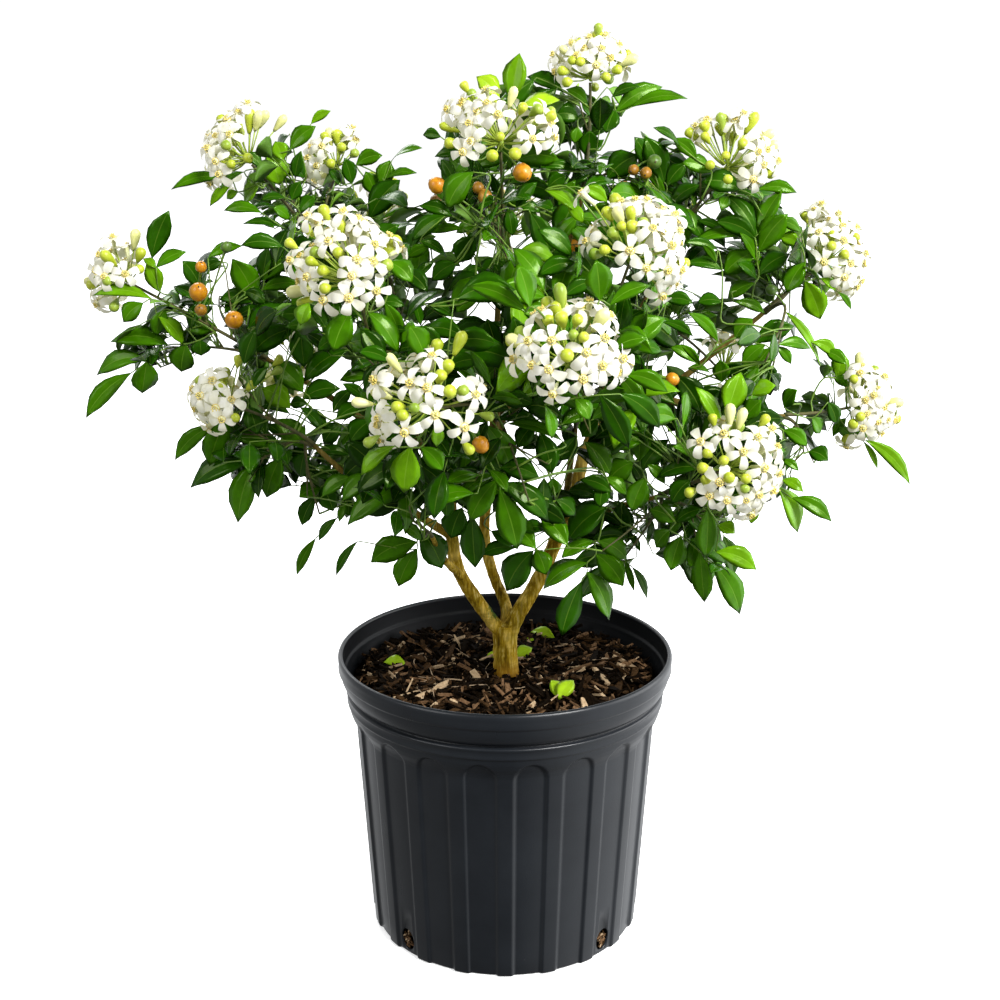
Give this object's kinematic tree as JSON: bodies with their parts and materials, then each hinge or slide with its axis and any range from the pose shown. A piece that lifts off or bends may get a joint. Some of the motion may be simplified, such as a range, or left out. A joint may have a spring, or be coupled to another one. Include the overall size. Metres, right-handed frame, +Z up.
{
  "type": "potted orange jasmine",
  "caption": "Flowering shrub with a rounded, open crown of glossy leaves, heads of white blossom and orange fruit, in a round fluted nursery pot.",
  "frame": {"origin": "centre of the pot's flat underside", "axes": "+Z up along the pot's axis, -Y to the front that the picture shows, +X to the right of the picture"},
  "size_m": [0.6573, 0.515, 0.7351],
  "materials": {
    "plastic": "moulded dark plastic, slightly worn and dusty",
    "soil": "damp chipped bark mix",
    "bark": "pale corky bark with fine lengthwise ridges",
    "foliage": "glossy green leaves, white petals and orange fruit"
  },
  "bodies": {
    "root": {"pot": "plastic", "soil": "soil", "trunk": "bark", "stem_left": "bark", "stem_middle": "bark", "stem_right": "bark", "bough_left": "bark", "bough_left_low": "bark", "bough_left_front": "bark", "bough_upper_left": "bark", "bough_middle": "bark", "bough_top": "bark", "bough_front": "bark", "bough_front_right": "bark", "bough_right": "bark", "bough_upper_right": "bark", "bough_right_low": "bark", "bough_right_far": "bark", "bough_back_left": "bark", "bough_back": "bark", "bough_back_right": "bark", "bough_low_front": "bark", "foliage_top": "foliage", "foliage_upper_centre": "foliage", "foliage_upper_left": "foliage", "foliage_upper_left_inner": "foliage", "foliage_left_far": "foliage", "foliage_left_wing": "foliage", "foliage_left_centre": "foliage", "foliage_left_low": "foliage", "foliage_left_skirt": "foliage", "foliage_lower_left": "foliage", "foliage_centre_low": "foliage", "foliage_centre": "foliage", "foliage_right_centre": "foliage", "foliage_upper_right": "foliage", "foliage_right": "foliage", "foliage_right_far": "foliage", "foliage_right_low": "foliage", "foliage_right_skirt": "foliage", "foliage_lower_right": "foliage", "foliage_right_outer": "foliage", "foliage_right_inner": "foliage", "foliage_top_gap": "foliage", "foliage_core_centre": "foliage", "foliage_core_low": "foliage", "foliage_lower_centre": "foliage", "foliage_side_left": "foliage", "foliage_side_right": "foliage", "foliage_back_upper_left": "foliage", "foliage_back_low_left": "foliage", "foliage_back_skirt_left": "foliage", "foliage_back_centre": "foliage", "foliage_back_low": "foliage", "foliage_back_right": "foliage", "foliage_back_low_right": "foliage", "foliage_back_skirt_right": "foliage", "foliage_back_top": "foliage"}
  },
  "joints": []
}
